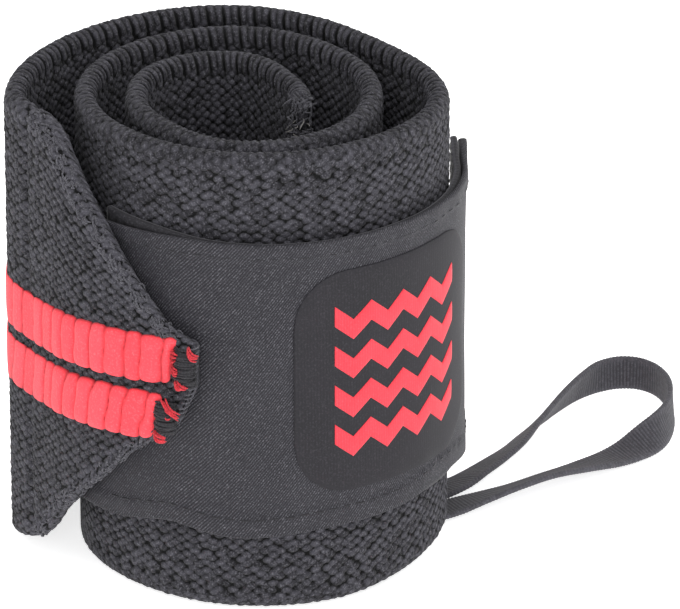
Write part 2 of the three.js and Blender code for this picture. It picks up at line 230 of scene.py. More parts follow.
def strip_section(
    low: np.ndarray,
    high: np.ndarray,
    thickness: np.ndarray,
    edge: float,
    outer_rows: np.ndarray,
    inner_rows: np.ndarray,
    edge_points: int,
) -> Section:
    """Outline of a flat strip: two straight faces joined by half ellipses.

    Args:
        low: Lower edge at each station.
        high: Upper edge at each station.
        thickness: Thickness at each station.
        edge: Height of the half ellipses.
        outer_rows: Places of the outer face's rows, from 0 to 1.
        inner_rows: Places of the inner face's rows, from 0 to 1.
        edge_points: Points on each half ellipse.

    Returns:
        The section at all stations.
    """
    low, high, thick = (np.asarray(v, dtype=float)[:, None] for v in (low, high, thickness))
    flat = high - low - 2 * edge
    phi = np.pi * np.arange(1, edge_points + 1) / (edge_points + 1)
    ones = np.ones_like(low)
    down = inner_rows[::-1]
    arc_out = -thick / 2 + thick / 2 * np.cos(phi)
    out = np.hstack([0 * ones * outer_rows, arc_out, -thick * np.ones_like(down), arc_out[:, ::-1]])
    height = np.hstack([
        low + edge + flat * outer_rows,
        high - edge + edge * np.sin(phi),
        low + edge + flat * down,
        low + edge - edge * np.sin(phi) * ones,
    ])
    push_out = np.hstack([np.ones_like(outer_rows), np.cos(phi), -np.ones_like(down), -np.cos(phi)])
    push_up = np.hstack([0 * outer_rows, np.sin(phi), 0 * down, -np.sin(phi)])
    edges = np.zeros(edge_points)
    face = np.hstack([np.ones_like(outer_rows), edges, -np.ones_like(down), edges])
    inset = np.maximum(np.minimum(height - low - edge, high - edge - height), 0.0)
    return Section(out, height, push_out * ones, push_up * ones, inset, face * ones)


def lofted(
    name: str,
    points: np.ndarray,
    uv: np.ndarray | None = None,
    marks: dict[str, np.ndarray] | None = None,
) -> bpy.types.Object:
    """Makes closed lofts into one smooth mesh object, its place in its mesh.

    Args:
        name: The piece's name.
        points: Loft by station by section point by xyz, in millimetres round the roll's axis.
        uv: Two surface coordinates in millimetres for each point, the first point's given again at the end.
        marks: Named numbers for each point, as attributes.

    Returns:
        The object.
    """
    lofts, stations, count = points.shape[:3]
    index = np.arange(lofts * stations * count).reshape(lofts, stations, count)
    beside = np.roll(index, -1, axis=2)
    quads = np.stack([index[:, :-1], index[:, 1:], beside[:, 1:], beside[:, :-1]], axis=-1).reshape(-1, 4)
    caps = np.concatenate([index[:, 0], index[:, -1, ::-1]])
    mesh = bpy.data.meshes.new(name)
    flat = ((points + ROLL_AXIS) * MM).reshape(-1, 3)
    mesh.from_pydata(flat.tolist(), [], quads.tolist() + caps.tolist())
    mesh.polygons.foreach_set("use_smooth", np.ones(len(mesh.polygons), dtype=bool))
    if uv is not None:
        parts = [uv[:, :-1, :-1], uv[:, 1:, :-1], uv[:, 1:, 1:], uv[:, :-1, 1:]]
        corners = np.stack(parts, axis=-2).reshape(-1, 2)
        ends = np.concatenate([uv[:, 0, :-1], uv[:, -1, -2::-1]]).reshape(-1, 2)
        layer = mesh.uv_layers.new(name="cloth")
        layer.data.foreach_set("uv", (np.vstack([corners, ends]) * MM).astype(np.float32).ravel())
    for key, values in (marks or {}).items():
        mark = mesh.attributes.new(key, "FLOAT", "POINT")
        mark.data.foreach_set("value", values.astype(np.float32).ravel())
    mesh.update()
    obj = bpy.data.objects.new(name, mesh)
    bpy.context.scene.collection.objects.link(obj)
    return obj


def cloth_uv(along: np.ndarray, points: np.ndarray) -> np.ndarray:
    """Surface coordinates of a loft: length along it, and length round its section from the first point.

    Args:
        along: Length at each station.
        points: Station by section point by xyz.

    Returns:
        One loft by station by section point and one more by two.
    """
    closed = np.concatenate([points, points[:, :1]], axis=1)
    steps = np.linalg.norm(np.diff(closed, axis=1), axis=2)
    around = np.concatenate([np.zeros((len(points), 1)), np.cumsum(steps, axis=1)], axis=1)
    return np.stack([np.broadcast_to(along[:, None], around.shape), around], axis=-1)[None]


def tubes(name: str, paths: np.ndarray, radius: float, sides: int = 6) -> bpy.types.Object:
    """Threads: a circle carried along each path, its plane square to the path and smaller at the ends.

    Args:
        name: The piece's name.
        paths: Thread by point by xyz.
        radius: Radius of the threads.
        sides: Corners of the circle.

    Returns:
        The object, with surface coordinates along and round each thread.
    """
    along = unit(np.gradient(paths, axis=1))
    hint = np.where(np.abs(along[..., 2:]) > 0.9, [[[1.0, 0.0, 0.0]]], [[[0.0, 0.0, 1.0]]])
    side = unit(np.cross(along, hint))
    up = np.cross(side, along)
    phi = 2 * np.pi * np.arange(sides + 1) / sides
    round_it = phi[:-1, None]
    ring = side[:, :, None] * np.cos(round_it) + up[:, :, None] * np.sin(round_it)
    taper = np.ones(paths.shape[1])
    taper[[0, -1]] = 0.6
    steps = np.linalg.norm(np.diff(paths, axis=1), axis=2)
    run = np.concatenate([np.zeros((len(paths), 1)), np.cumsum(steps, axis=1)], axis=1)[..., None]
    around = np.broadcast_to(phi * radius, (*paths.shape[:2], sides + 1))
    uv = np.stack([np.broadcast_to(run, around.shape), around], axis=-1)
    return lofted(name, paths[:, :, None] + ring * (radius * taper)[:, None, None], uv)


def linear(colour: str) -> tuple[float, float, float, float]:
    """An sRGB hex colour as linear red, green, blue and alpha."""
    parts = [int(colour[i : i + 2], 16) / 255 for i in (1, 3, 5)]
    red, green, blue = (c / 12.92 if c <= 0.04045 else ((c + 0.055) / 1.055) ** 2.4 for c in parts)
    return red, green, blue, 1.0


def add_node(
    tree: Tree,
    kind: str,
    settings: dict[str | int, Any] | None = None,
    links: dict[str | int, Socket] | None = None,
) -> bpy.types.Node:
    """Adds a node with its settings and links.

    Args:
        tree: The node tree.
        kind: The node's type.
        settings: Properties by name, or input values by name or number.
        links: Sources by the input's name or number.

    Returns:
        The node.
    """
    node = tree.nodes.new(kind)
    for key, value in (settings or {}).items():
        if isinstance(key, str) and hasattr(node, key):
            setattr(node, key, value)
        else:
            node.inputs[key].default_value = value
    for key, source in (links or {}).items():
        tree.links.new(source, node.inputs[key])
    return node


def new_material(name: str) -> tuple[bpy.types.Material, Tree]:
    """An empty node material and its tree."""
    material = bpy.data.materials.new(name)
    material.use_nodes = True
    material.node_tree.nodes.clear()
    return material, material.node_tree


@dataclass(frozen=True)
class Cloth:
    """A textile finish: two yarn shades, a hollow colour painted between yarns as painted shade, pale fibre
    specks painted as glints, and its shine.

    Sizes are in millimetres: fibre is the width of the fine fibre noise, line_along and line_across the
    spacing of its thread lines along and across the cloth, and bump the height of fibre and lines.
    slow_share is how many times wider than the fibre the slow change of tone is.
    """

    name: str
    yarn: str
    shade: str
    # Colour painted into the low parts of the pattern: painted shade.
    hollow: str
    # Colour of the pale fibre specks: painted glints.
    fibre_glint: str
    roughness: float
    sheen: float
    fibre: float
    line_along: float
    line_across: float
    bump: float
    line_share: float = 0.5
    hill_bump: float = 0.0
    gloss: float = 0.2
    relief: bool = False
    slow_share: float = 25.0

    def wave(self, tree: Tree, along: float, across: float) -> Socket:
        """Half of one plus the cosine of a phase that grows by a turn in each spacing along and across."""
        place = add_node(tree, "ShaderNodeUVMap", {"uv_map": "cloth"}).outputs["UV"]
        turns = (2 * math.pi / (along * MM), 2 * math.pi / (across * MM), 0.0)
        phase = add_node(tree, "ShaderNodeVectorMath", {"operation": "DOT_PRODUCT", 1: turns}, {0: place})
        cosine = add_node(tree, "ShaderNodeMath", {"operation": "COSINE"}, {0: phase.outputs["Value"]})
        half = {"operation": "MULTIPLY_ADD", 1: 0.5, 2: 0.5}
        return add_node(tree, "ShaderNodeMath", half, {0: cosine.outputs[0]}).outputs[0]

    def pattern(self, tree: Tree, lines: Socket) -> tuple[Socket, Socket]:
        """Share of yarn against hollow, and the yarn's tone.

        They are the mesh's own marks where it has them, or else the thread lines and a slow noise.

        Args:
            tree: The material's tree.
            lines: The thread lines.

        Returns:
            Hill and tone, from 0 to 1.
        """
        if self.relief:
            hill = add_node(tree, "ShaderNodeAttribute", {"attribute_name": "hill"}).outputs["Fac"]
            raised = add_node(tree, "ShaderNodeMapRange", {1: 0.12, 2: 0.72}, {0: hill})
            tone = add_node(tree, "ShaderNodeAttribute", {"attribute_name": "tone"})
            return raised.outputs[0], tone.outputs["Fac"]
        raised = add_node(tree, "ShaderNodeMapRange", {3: 1.0 - self.line_share, 4: 1.0}, {0: lines})
        place = add_node(tree, "ShaderNodeTexCoord").outputs["Object"]
        settings = {"Scale": 1.0 / (self.fibre * self.slow_share * MM), "Detail": 2.0, "Roughness": 0.6}
        slow = add_node(tree, "ShaderNodeTexNoise", settings, {"Vector": place}).outputs["Fac"]
        return raised.outputs[0], add_node(tree, "ShaderNodeMapRange", {1: 0.3, 2: 0.7}, {0: slow}).outputs[0]

    def material(self) -> bpy.types.Material:
        """Yarn tones over hollows painted dark as painted shade, pale fibre specks as painted glints, and a
        bump of hills, fibre and thread lines.
        """
        material, tree = new_material(self.name)
        lines = self.wave(tree, self.line_along, self.line_across)
        place = add_node(tree, "ShaderNodeTexCoord").outputs["Object"]
        settings = {"Scale": 1.0 / (self.fibre * MM), "Detail": 3.0, "Roughness": 0.6}
        fibre = add_node(tree, "ShaderNodeTexNoise", settings, {"Vector": place}).outputs["Fac"]
        hill, tone = self.pattern(tree, lines)
        # Painted glints: pale fibre specks where the fine fibre noise is high.
        glint_specks = add_node(tree, "ShaderNodeMapRange", {1: 0.5, 2: 0.8}, {0: fibre}).outputs[0]
        settings = {"data_type": "RGBA", 6: linear(self.shade), 7: linear(self.yarn)}
        yarn = add_node(tree, "ShaderNodeMix", settings, {0: tone}).outputs[2]
        settings = {"data_type": "RGBA", 7: linear(self.fibre_glint)}
        yarn = add_node(tree, "ShaderNodeMix", settings, {0: glint_specks, 6: yarn}).outputs[2]
        # Painted shade: the hollow colour is mixed in where the hill is low, in the recesses between yarns.
        settings = {"data_type": "RGBA", 6: linear(self.hollow)}
        colour = add_node(tree, "ShaderNodeMix", settings, {0: hill, 7: yarn}).outputs[2]
        spread = {1: 0.3, 2: 0.7, 3: self.roughness - 0.1, 4: self.roughness + 0.05}
        rough = add_node(tree, "ShaderNodeMapRange", spread, {0: fibre}).outputs[0]
        share = {"operation": "MULTIPLY_ADD", 1: self.line_share}
        height = add_node(tree, "ShaderNodeMath", share, {0: lines, 2: fibre}).outputs[0]
        share = {"operation": "MULTIPLY_ADD", 1: self.hill_bump}
        height = add_node(tree, "ShaderNodeMath", share, {0: hill, 2: height}).outputs[0]
        settings = {"Strength": 1.0, "Distance": self.bump * MM}
        bump = add_node(tree, "ShaderNodeBump", settings, {"Height": height}).outputs[0]
        settings = {"IOR": 1.5, "Specular IOR Level": self.gloss}
        settings |= {"Sheen Weight": self.sheen, "Sheen Roughness": 0.5}
        links = {"Base Color": colour, "Roughness": rough, "Normal": bump}
        shader = add_node(tree, "ShaderNodeBsdfPrincipled", settings, links)
        add_node(tree, "ShaderNodeOutputMaterial", links={"Surface": shader.outputs[0]})
        return material


@dataclass(frozen=True)
class WovenCloth(Cloth):
    """Thick webbing: staggered yarn pillows on its faces, ribs along its selvages, slots beside them.

    The piece's marks say how far each point is selvage, slot row or fold wear.
    """

    cell_length: float = 1.05
    cell_height: float = 0.75
    jitter: float = 0.45
    pillow_radius: float = 0.62
    rib_pitch: float = 1.4
    rib_slant: float = 9.0
    rib_power: float = 0.4
    slot_power: float = 9.0

    def pattern(self, tree: Tree, lines: Socket) -> tuple[Socket, Socket]:
        """Pillows round the points of a jittered square grid, laid on its corner across the cloth.

        A pillow's height is the root of one less the square of the distance from its middle. A rib is the
        root of a wave, and a slot a wave of twice the spacing to a high power.

        Args:
            tree: The material's tree.
            lines: The thread lines, which aren't used here.

        Returns:
            Hill and tone, from 0 to 1.
        """
        marks = {}
        for name in ("selvage", "slot_row", "wear"):
            marks[name] = add_node(tree, "ShaderNodeAttribute", {"attribute_name": name}).outputs["Fac"]
        place = add_node(tree, "ShaderNodeUVMap", {"uv_map": "cloth"}).outputs["UV"]
        steps = (0.5 / (self.cell_length * MM), 0.5 / (self.cell_height * MM))
        grid = add_node(tree, "ShaderNodeCombineXYZ")
        for axis, sign in enumerate((1.0, -1.0)):
            turn = {"operation": "DOT_PRODUCT", 1: (steps[0], sign * steps[1], 0.0)}
            dot = add_node(tree, "ShaderNodeVectorMath", turn, {0: place}).outputs["Value"]
            tree.links.new(dot, grid.inputs[axis])
        settings = {"voronoi_dimensions": "2D", "Scale": 1.0, "Randomness": self.jitter}
        cells = add_node(tree, "ShaderNodeTexVoronoi", settings, {"Vector": grid.outputs[0]})
        away = cells.outputs["Distance"]
        square = add_node(tree, "ShaderNodeMath", {"operation": "MULTIPLY"}, {0: away, 1: away}).outputs[0]
        fall = {"operation": "MULTIPLY_ADD", "use_clamp": True, 1: -1.0 / self.pillow_radius**2, 2: 1.0}
        left = add_node(tree, "ShaderNodeMath", fall, {0: square}).outputs[0]
        pillow = add_node(tree, "ShaderNodeMath", {"operation": "SQRT"}, {0: left}).outputs[0]
        gap = self.wave(tree, self.rib_pitch, self.rib_slant)
        rise = add_node(tree, "ShaderNodeMath", {"operation": "SUBTRACT", 0: 1.0}, {1: gap}).outputs[0]
        power = {"operation": "POWER", 1: self.rib_power}
        rib = add_node(tree, "ShaderNodeMath", power, {0: rise}).outputs[0]
        slot = self.wave(tree, 2 * self.rib_pitch, 2 * self.rib_slant)
        power = {"operation": "POWER", 1: self.slot_power}
        slot = add_node(tree, "ShaderNodeMath", power, {0: slot}).outputs[0]
        links = {0: slot, 1: marks["slot_row"]}
        slot = add_node(tree, "ShaderNodeMath", {"operation": "MULTIPLY"}, links).outputs[0]
        # The hill decides where the hollow colour is painted: painted shade between pillows, between ribs and
        # in the slots.
        links = {0: marks["selvage"], 2: pillow, 3: rib}
        hill = add_node(tree, "ShaderNodeMix", {"data_type": "FLOAT"}, links).outputs[0]
        cut = {"operation": "SUBTRACT", "use_clamp": True}
        hill = add_node(tree, "ShaderNodeMath", cut, {0: hill, 1: slot}).outputs[0]
        lift = {"operation": "ADD", "use_clamp": True}
        tone = add_node(tree, "ShaderNodeMath", lift, {0: cells.outputs["Color"], 1: marks["wear"]})
        return hill, tone.outputs[0]


# Polyester and rubber webbing, woven thick: matt charcoal yarn pillows; the near-black hollows between them
# are painted shade and the pale specks painted glints.
WEBBING = WovenCloth(
    name="woven_polyester_elastic_webbing", yarn="#47464D", shade="#201F23", hollow="#050506", fibre_glint="#75747B",
    roughness=0.78, sheen=0.05, fibre=0.3, line_along=0.5, line_across=-0.55, bump=0.12, line_share=0.3,
    hill_bump=4.0, gloss=0.15,
)
# Red polyester yarn in thick floats: bright and a little satin; the deep red in the creases between ribs is
# painted shade.
RED_YARN = Cloth(
    name="red_polyester_rib_yarn", yarn="#FF4A55", shade="#F8404B", hollow="#971A23", fibre_glint="#FF6A72",
    roughness=0.7, sheen=0.1, fibre=0.35, line_along=0.5, line_across=60.0, bump=0.03, line_share=0.3,
    relief=True,
)
# The same yarn in loose tufts, where it has no ribs, painted a darker red than the stripes as painted shade.
RED_TUFT_SHADED = Cloth(
    name="red_polyester_tuft_yarn_painted_shade", yarn="#D93641", shade="#A8232D", hollow="#8E1A24", fibre_glint="#F5525C",
    roughness=0.7, sheen=0.1, fibre=0.2, line_along=0.5, line_across=0.8, bump=0.03,
)
# Tight nylon twill: smooth with a low silky shine, and pale specks painted as sheen glints. Its diagonal
# lines are drawn twice as coarse as they are.
TWILL = Cloth(
    name="nylon_twill", yarn="#36353B", shade="#2F2E34", hollow="#0D0C0F", fibre_glint="#7A7980",
    roughness=0.6, sheen=0.04, fibre=0.25, line_along=0.5, line_across=-0.62, bump=0.06, line_share=0.8,
)
# Damask patch: denser, flatter and darker than the twill round it.
PATCH = Cloth(
    name="woven_damask_patch", yarn="#252328", shade="#212024", hollow="#19181B", fibre_glint="#3E3C41",
    roughness=0.58, sheen=0.0, fibre=0.3, line_along=0.5, line_across=60.0, bump=0.015, line_share=0.3,
)
# Satin-stitched red thread of the patch's design.
DESIGN = Cloth(
    name="red_satin_embroidery", yarn="#F4404D", shade="#EE3845", hollow="#D42A37", fibre_glint="#F9545F",
    roughness=0.6, sheen=0.1, fibre=0.3, line_along=0.45, line_across=60.0, bump=0.02, line_share=0.4,
)
# Nylon hook tape: dull black, with a speckle of hooks and a paler cut edge.
HOOKS = Cloth(
    name="nylon_hook_tape", yarn="#5A595F", shade="#222125", hollow="#0C0B0D", fibre_glint="#4A494E",
    roughness=0.6, sheen=0.1, fibre=0.3, line_along=0.9, line_across=60.0, bump=0.06, line_share=0.3,
    relief=True,
)
# Narrow braided elastic: grey-black with fine ribs across the tape.
BRAID = Cloth(
    name="braided_polyester_elastic", yarn="#4A494F", shade="#3C3B40", hollow="#242327", fibre_glint="#6B6A70",
    roughness=0.82, sheen=0.15, fibre=0.2, line_along=0.3, line_across=0.9, bump=0.04, line_share=0.4,
    relief=True,
)
# Twisted black sewing thread, slightly shiny.
THREAD = Cloth(
    name="black_sewing_thread", yarn="#2A292D", shade="#1F1E22", hollow="#0E0D10", fibre_glint="#4C4A50",
    roughness=0.55, sheen=0.1, fibre=0.15, line_along=0.5, line_across=1.2, bump=0.04,
)
# Charcoal sewing thread, a shade darker than the tab that it hems.
HEM_THREAD = Cloth(
    name="charcoal_sewing_thread", yarn="#252428", shade="#1D1C20", hollow="#121114", fibre_glint="#3B3A40",
    roughness=0.55, sheen=0.1, fibre=0.15, line_along=0.4, line_across=0.9, bump=0.03,
)
# Fuzzed ends of the band's own yarn where it is folded or cut: dry and pale at the tips.
FUZZ = Cloth(
    name="fuzzed_polyester_ends", yarn="#5A5960", shade="#3C3B41", hollow="#2A292E", fibre_glint="#7C7B82",
    roughness=0.85, sheen=0.2, fibre=0.15, line_along=0.4, line_across=0.6, bump=0.02,
)
# Undyed core yarn at the cut end: dull and far paler than the rest.
BARE_YARN = Cloth(
    name="undyed_yarn_ends", yarn="#8F8C8A", shade="#7A7776", hollow="#55524F", fibre_glint="#AAA7A4",
    roughness=0.85, sheen=0.2, fibre=0.15, line_along=0.4, line_across=0.6, bump=0.02,
)


def dress(obj: bpy.types.Object, finish: bpy.types.Material, slot: str, *nodes: str) -> bpy.types.Object:
    """Gives a piece its finish and its body, and hides the solids that it stands for.

    Args:
        obj: The piece.
        finish: Its material.
        slot: The part's material slot; not used.
        nodes: The solids that it replaces.

    Returns:
        The piece.
    """
    obj.data.materials.append(finish)
    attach(obj, BODY)
    if nodes:
        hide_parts(*nodes)
    LOG.info("%s: %d faces", obj.name, len(obj.data.polygons))
    return obj


BAND_ROWS = np.vstack([COIL, POINT[:, :2]])
FOLD_START = COIL[-1, 0]


def band_radius(angle: np.ndarray) -> np.ndarray:
    """Radius of the rolled band's outer face."""
    return smooth_column(BAND_ROWS[:, 0], BAND_ROWS[:, 1], angle)


def tab_radius(angle: np.ndarray) -> np.ndarray:
    """Radius of the tab cover's outer face: the roll's, one turn on, plus the stand-off."""
    return band_radius(angle + TURN) + smooth_column(TAB[:, 0], TAB[:, 1], angle)


BAND_WALL = Wall(band_radius)
TAB_WALL = Wall(tab_radius)


def point_column(angle: np.ndarray, column: int, plain: float) -> np.ndarray:
    """A column of the folded point as straight stretches, and the plain value before the fold.

    Args:
        angle: Where the column is wanted.
        column: Its number in the point's table.
        plain: The value before the fold.

    Returns:
        The values there.
    """
    x = np.concatenate([[FOLD_START], POINT[:, 0]])
    y = np.concatenate([[plain], POINT[:, column]])
    return np.interp(angle, x, y)


def chance(*keys: np.ndarray) -> np.ndarray:
    """Repeatable numbers from 0 to 1 for whole-number keys, read from a seeded table."""
    table = np.random.default_rng(CHANCE_SEED).uniform(0.0, 1.0, CHANCE_COUNT)
    total = sum((key.astype(np.int64) * step for key, step in zip(keys, CHANCE_STEPS)), np.int64(0))
    return table[np.mod(total, len(table))]


@dataclass
class ElasticBand:
    """The rolled band with its folded point, in three meshes that meet end to end."""

    width: float = 76.2
    thickness: float = 3.4
    edge: float = 1.8
    step: float = 0.42
    row: float = 0.4
    edge_points: int = 11
    seams: tuple[float, float] = (560.0, 770.0)
    crest: float = 0.12
    hollow: float = 0.34
    rib: float = 0.3
    slot: float = 0.35
    slot_depth: float = 2.9
    outer_slot_depth: float = 1.9
    outer_slot_width: float = 0.7
    outer_slot_share: float = 0.7
    selvage_depth: float = 1.0
    wear_depth: float = 2.2
    fuzz: float = 0.02
    seed: int = 5
    crease: float = 0.4
    crease_angle: float = 911.5
    crease_width: float = 1.2
    arch_centre: float = 14.0
    arch_half: float = 75.0
    arch_height: float = 3.2
    fold_angle: float = 912.0
    fold_fade: float = 8.0
    fine_top: float = 28.0
    plain_rows: int = 9

    def low(self, angle: np.ndarray) -> np.ndarray:
        """Lower edge: the fold's straight stretches, or a raised cosine over the thumb loop's tapes."""
        away = np.mod(angle - self.arch_centre + 180.0, TURN) - 180.0
        wave = self.arch_height / 2 * (1 + np.cos(np.pi * away / self.arch_half))
        arch = np.where((np.abs(away) < self.arch_half) & (angle < FOLD_START), wave, 0.0)
        return np.maximum(point_column(angle, 2, 0.0), arch)

    def rows(self, fine_top: float, plain_rows: int) -> tuple[np.ndarray, np.ndarray]:
        """Rows of a face from 0 to 1: plain ones below, fine ones in the top stretch.

        Args:
            fine_top: Height of the fine stretch.
            plain_rows: Rows below it.

        Returns:
            The rows' places, and 1 where they are fine enough for the weave.
        """
        count = round((self.width - 2 * self.edge) / self.row)
        fine = np.arange(count - round(fine_top / self.row), count + 1) / count
        plain = np.linspace(0.0, fine[0], plain_rows + 1)[:-1] if plain_rows else np.empty(0)
        return np.concatenate([plain, fine]), np.concatenate([np.zeros(len(plain)), np.ones(len(fine))])

    def across(self, section: Section, high: np.ndarray) -> np.ndarray:
        """Place across the cloth: the height outside, then on over the edge and down the inside."""
        top = (high - 2 * self.edge)[:, None]
        over = top + (self.edge_points + 1) * self.row
        on_edge = np.cumsum(section.face == 0, axis=1) * self.row
        place = np.where(section.face > 0, section.height - self.edge, top + on_edge)
        inside = over + high[:, None] - self.edge - section.height
        return np.where(section.face < 0, inside, place)

    def marks(self, angle: np.ndarray, section: Section) -> dict[str, np.ndarray]:
        """Where a mesh is selvage, slot row or fold wear, from 0 to 1.

        Selvages and slots stop at the fold, past which the pillows run on over edges with wear.

        Args:
            angle: The stations' angles.
            section: The section's points.

        Returns:
            The three marks.
        """
        unfolded = np.clip((self.fold_angle - angle) / self.fold_fade, 0, 1)[:, None]
        facing = 0.6 - 0.25 * section.push_out
        selvage = np.clip(1 - section.inset / self.selvage_depth, 0, 1) * facing * unfolded
        inner = np.clip(-section.push_out, 0, 1) * np.clip(1.4 - 1.4 * section.inset / self.slot_depth, 0, 1)
        off_row = (section.inset - self.outer_slot_depth) / self.outer_slot_width
        outer = (section.face > 0) * self.outer_slot_share * np.exp(-(off_row**2))
        wear = (1 - unfolded) * np.clip(1 - section.inset / self.wear_depth, 0, 1)
        # In the material the slots cut the hill, so the hollow colour is painted into them as painted shade.
        return {"selvage": selvage, "slot_row": (inner + outer) * unfolded, "wear": wear}

    def relief(
        self,
        angle: np.ndarray,
        along: np.ndarray,
        across: np.ndarray,
        marks: dict[str, np.ndarray],
    ) -> np.ndarray:
        """marks: Selvage, slot row and fold wear.

        Returns:
            The distance out, with a little seeded roughness.
        """
        s, v = along / (2 * WEBBING.cell_length), across / (2 * WEBBING.cell_height)
        middle = WEBBING.jitter / 2
        p, q = s + v - middle, s - v - middle
        away = np.hypot(p - np.rint(p), q - np.rint(q)) / WEBBING.pillow_radius
        pillow = np.sqrt(np.clip(1 - away**2, 0, 1))
        tone = chance(np.rint(p), np.rint(q)) + marks["wear"]
        turn = np.pi * (along / WEBBING.rib_pitch + across / WEBBING.rib_slant)
        rib = np.abs(np.sin(turn)) ** 0.8
        slots = np.cos(turn / 2) ** 18 * marks["slot_row"]
        woven = self.crest * tone - self.hollow * (1 + 0.4 * marks["wear"]) * (1 - pillow)
        ribbed = self.crest - self.rib * (1 - rib)
        rough = np.random.default_rng(self.seed).normal(0.0, self.fuzz, across.shape)
        from_crease = (angle - self.crease_angle) / self.crease_width
        rough = rough - self.crease * np.exp(-(from_crease**2))[:, None]
        return woven + marks["selvage"] * (ribbed - woven) - self.slot * slots + rough

    def dress(self) -> None:
        """Builds the three stretches from one row of stations."""
        finish = WEBBING.material()
        angles, along = BAND_WALL.stations(COIL[0, 0], POINT[-1, 0], self.step)
        first, second = np.searchsorted(angles, self.seams)
        whole = self.rows(self.width - 2 * self.edge, 0)
        top = self.rows(self.fine_top, self.plain_rows)
        plans = (
            ("band_inner_turns", slice(0, first + 1), top, top),
            ("band_middle_turn", slice(first, second + 1), whole, top),
            ("band_outer_turn", slice(second, None), whole, top),
        )
        for name, part, outer, inner in plans:
            angle, run = angles[part], along[part]
            low, high = self.low(angle), point_column(angle, 3, self.width)
            thick = point_column(angle, 4, self.thickness)
            section = strip_section(low, high, thick, self.edge, outer[0], inner[0], self.edge_points)
            arcs = np.ones(self.edge_points)
            fine = np.concatenate([outer[1], arcs, inner[1][::-1], arcs])
            marks = self.marks(angle, section)
            across = self.across(section, high)
            along_all = np.broadcast_to(run[:, None], across.shape)
            section.push(self.relief(angle, along_all, across, marks) * fine)
            points = BAND_WALL.place(angle, section.out, section.height)
            flat = np.stack([along_all, across], axis=-1)
            closing = flat[:, -1:] + [0.0, self.row]
            obj = lofted(name, points[None], np.concatenate([flat, closing], axis=1)[None], marks)
            dress(obj, finish, "band_elastic", "elastic_band")


@dataclass
class RibbedStripe:
    """A red stripe woven proud of the band: puffed ribs across it with creases between them."""

    name: str
    node: str
    low: float
    high: float
    last: float
    slant: float
    end_slant: float
    first: float = 736.0
    pitch: float = 3.2
    crease: float = 0.3
    scallop: float = 0.4
    sink: float = 0.6
    end_round: float = 1.6
    rows: int = 19
    steps: int = 12
    slow_wander: float = 0.07
    quick_wander: float = 0.05
    cross_wander: float = 0.03

    def crest(self, angle: np.ndarray) -> np.ndarray:
        """Height of the ribs: flattened where the band turns sharply at the fold, full towards the tip."""
        return np.interp(angle, [880.0, 900.0, 914.0, 932.0], [0.75, 0.3, 0.3, 1.1])

    def dress(self, finish: bpy.types.Material) -> None:
        """A rib is a flattened half circle along the stripe, times a rounded crown across it.

        Sines of three spacings make the ribs wander, and the stripe's end is rounded off and sinks in.
        """
        angles, along = BAND_WALL.stations(self.first, self.last, self.pitch / self.steps)
        across = np.sin(np.linspace(-np.pi / 2, np.pi / 2, self.rows))
        half = (self.high - self.low) / 2
        place = (along[:, None] - self.slant * half * across) / self.pitch
        wander = self.slow_wander * np.sin(along * 0.83 + self.low)
        wander = wander + self.quick_wander * np.sin(along * 2.1)
        place = place + wander[:, None] + self.cross_wander * np.sin(4 * across + along[:, None])
        number = np.rint(place)
        rib = np.sqrt(np.clip(1 - np.abs(1.98 * (place - number)) ** 3, 0, 1))
        crown = (1 - np.abs(across) ** 4) ** 0.5
        crest = self.crest(angles)[:, None] * (0.85 + 0.3 * chance(number))
        last = along[-1] - self.end_slant * (1 - across) / 2
        to_end = np.clip((last - along[:, None]) / self.end_round, 0, 1)
        end = np.sqrt(to_end * (2 - to_end))
        out = crest * (self.crease + (1 - self.crease) * rib) * (0.2 + 0.8 * crown)
        out = out * end - 0.8 * self.sink * (1 - end)
        edge = (half - self.scallop * (1 - rib) + 0.2 * chance(number, number)) * (0.75 + 0.25 * end)
        rise = point_column(angles, 5, 0.0)[:, None]
        height = (self.low + self.high) / 2 + rise + across * edge
        back = np.full((len(angles), 2), -self.sink)
        # The hill mark paints the hollow colour into the creases between ribs and towards the stripe's edges:
        # painted shade.
        marks = {
            "hill": np.hstack([rib * (0.45 + 0.55 * crown), 0 * back]),
            "tone": np.hstack([chance(number), 0 * back]),
        }
        points = BAND_WALL.place(angles, np.hstack([out, back]), np.hstack([height, height[:, [-1, 0]]]))
        obj = lofted(self.name, points[None], cloth_uv(along, points), marks)
        dress(obj, finish, "stripe_yarn", self.node)


